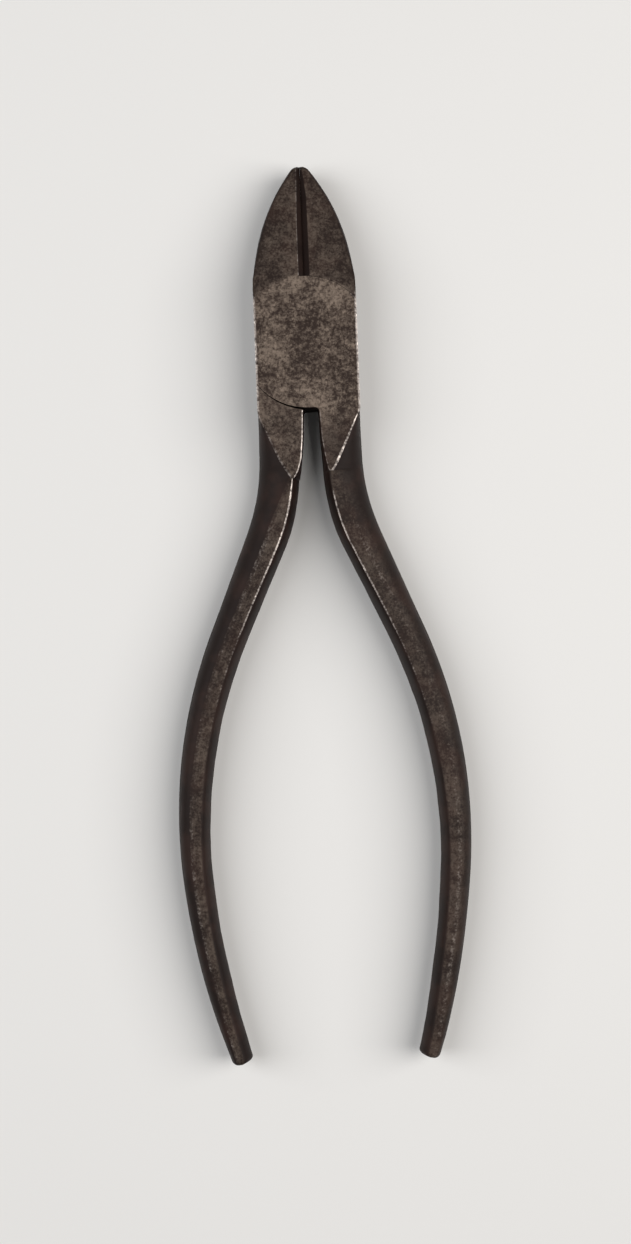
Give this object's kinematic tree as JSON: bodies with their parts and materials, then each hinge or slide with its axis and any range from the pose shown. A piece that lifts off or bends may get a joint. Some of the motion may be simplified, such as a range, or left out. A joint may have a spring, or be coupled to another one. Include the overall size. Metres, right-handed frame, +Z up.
{
  "type": "side cutters",
  "caption": "Small steel side cutters: bevelled pointed jaws, a lap joint on a rivet ground flush, and long bowed bare handles.",
  "frame": {"origin": "the rivet's axis at the joint's flat underside", "axes": "+Y from the rivet to the jaw tips, +Z up out of the joint's upper face, +X to the right with the tips pointing away"},
  "size_m": [0.0418, 0.1271, 0.008],
  "materials": {
    "lever_steel": "bare forged tool steel gone dark brown-grey, ground flat on the joint, worn brighter along the edges",
    "rivet_steel": "bare steel ground flush with the joint, dark brown-grey"
  },
  "bodies": {
    "lower": {"lower_lever": "lever_steel", "pivot_rivet": "rivet_steel"},
    "upper": {"upper_lever": "lever_steel"}
  },
  "joints": [
    {"name": "jaw_pivot", "type": "hinge", "parent": "lower", "child": "upper", "pos_m": [0, 0, 0.004], "axis": [0, 0, 1], "range_deg": [0, 60]}
  ]
}
